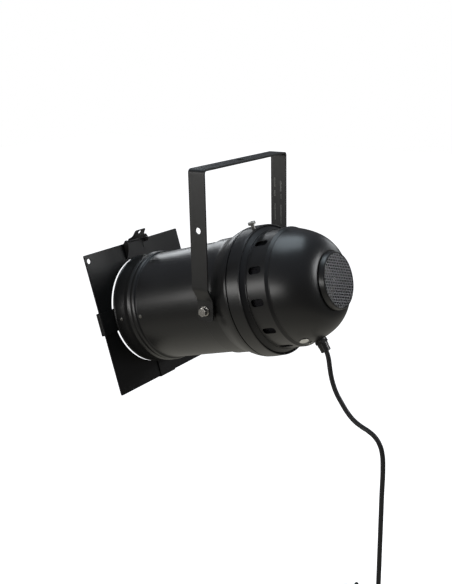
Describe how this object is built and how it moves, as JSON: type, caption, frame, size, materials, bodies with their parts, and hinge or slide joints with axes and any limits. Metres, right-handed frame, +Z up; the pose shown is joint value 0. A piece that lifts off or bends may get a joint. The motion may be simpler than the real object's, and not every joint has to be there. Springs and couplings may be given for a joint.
{
  "type": "par can light",
  "caption": "Long par can stage light in a flat hanging yoke, with a square filter frame, top latch, domed vented rear cap and a trailing mains cord with plug.",
  "frame": {"origin": "centre of the hanging hole in the yoke's top bar, on the bar's top face", "axes": "+Z up out of the bar, X along the tilt axis, the beam points towards -Y and down"},
  "size_m": [0.2604, 0.5274, 0.8723],
  "materials": {
    "black_coat": "satin black powder coat",
    "dark_steel": "blackened steel",
    "zinc": "bright zinc plate",
    "grille_metal": "grey perforated sheet",
    "rubber": "matt black rubber",
    "black_plastic": "moulded black nylon",
    "fibre": "pressed fibre",
    "ceramic": "glazed ceramic, off white",
    "lamp_glass": "pressed glass, mirrored behind",
    "brass": "plain brass",
    "foil": "satin silver foil, no lettering",
    "wire_brown": "brown wire insulation",
    "wire_blue": "blue wire insulation",
    "wire_green": "green and yellow wire insulation"
  },
  "bodies": {
    "yoke": {"yoke": "black_coat"},
    "can": {"tilt_bolt_left": "zinc", "flat_washer_left": "zinc", "spring_washer_left": "zinc", "friction_disc_left": "fibre", "tilt_nut_left": "zinc", "tilt_bolt_right": "zinc", "flat_washer_right": "zinc", "spring_washer_right": "zinc", "friction_disc_right": "fibre", "tilt_nut_right": "zinc", "barrel": "black_coat", "lamp_housing": "black_coat", "frame_bracket_left": "black_coat", "frame_bracket_bottom": "black_coat", "frame_bracket_right": "black_coat", "latch_bracket": "black_coat", "rivet_left_1": "black_coat", "rivet_left_2": "black_coat", "rivet_bottom_1": "black_coat", "rivet_bottom_2": "black_coat", "rivet_right_1": "black_coat", "rivet_right_2": "black_coat", "rivet_top_1": "black_coat", "rivet_top_2": "black_coat", "latch_pin": "zinc", "latch_spring": "dark_steel", "lamp_envelope": "lamp_glass", "lamp_base": "ceramic", "lamp_pin_1": "zinc", "lamp_pin_2": "zinc", "lamp_retaining_ring": "zinc", "collar_ring": "black_coat"},
    "filter_frame": {"filter_frame": "black_coat"},
    "latch": {"latch_flap": "dark_steel"},
    "rear_cap": {"rear_cap": "black_coat", "light_baffle": "dark_steel", "grille_ring": "black_coat", "rear_grille": "grille_metal", "lampholder": "ceramic", "lampholder_bar": "dark_steel", "lampholder_screw_1": "zinc", "lampholder_screw_2": "zinc", "gland_body": "black_plastic", "gland_nut": "black_plastic", "gland_seal": "rubber", "gland_locknut": "black_plastic", "earth_screw": "brass", "round_label": "foil", "live_wire": "wire_brown", "neutral_wire": "wire_blue", "earth_wire": "wire_green", "cord": "rubber", "cord_coil": "rubber", "coil_tie": "black_plastic", "cord_tail": "rubber", "plug_body": "black_plastic", "plug_pin_1": "zinc", "plug_pin_2": "zinc"},
    "thumbscrew": {"thumbscrew": "zinc"}
  },
  "joints": [
    {"name": "can_tilt", "type": "hinge", "parent": "yoke", "child": "can", "pos_m": [0, 0, -0.227], "axis": [1, 0, 0], "range_deg": [-60, 85]},
    {"name": "filter_frame_slide", "type": "slide", "parent": "can", "child": "filter_frame", "axis": [0, -0.2706, 0.9627], "range_m": [0, 0.29]},
    {"name": "top_latch_swing", "type": "hinge", "parent": "can", "child": "latch", "pos_m": [0, -0.23239, -0.1578], "axis": [1, 0, 0], "range_deg": [0, 130]},
    {"name": "rear_cap_slide", "type": "slide", "parent": "can", "child": "rear_cap", "axis": [0, 0.9627, 0.2706], "range_m": [0, 0.02]},
    {"name": "thumbscrew_turn", "type": "hinge", "parent": "can", "child": "thumbscrew", "pos_m": [0.02137, 0.03668, -0.10249], "axis": [0.1908, -0.2656, 0.945], "continuous": true}
  ]
}
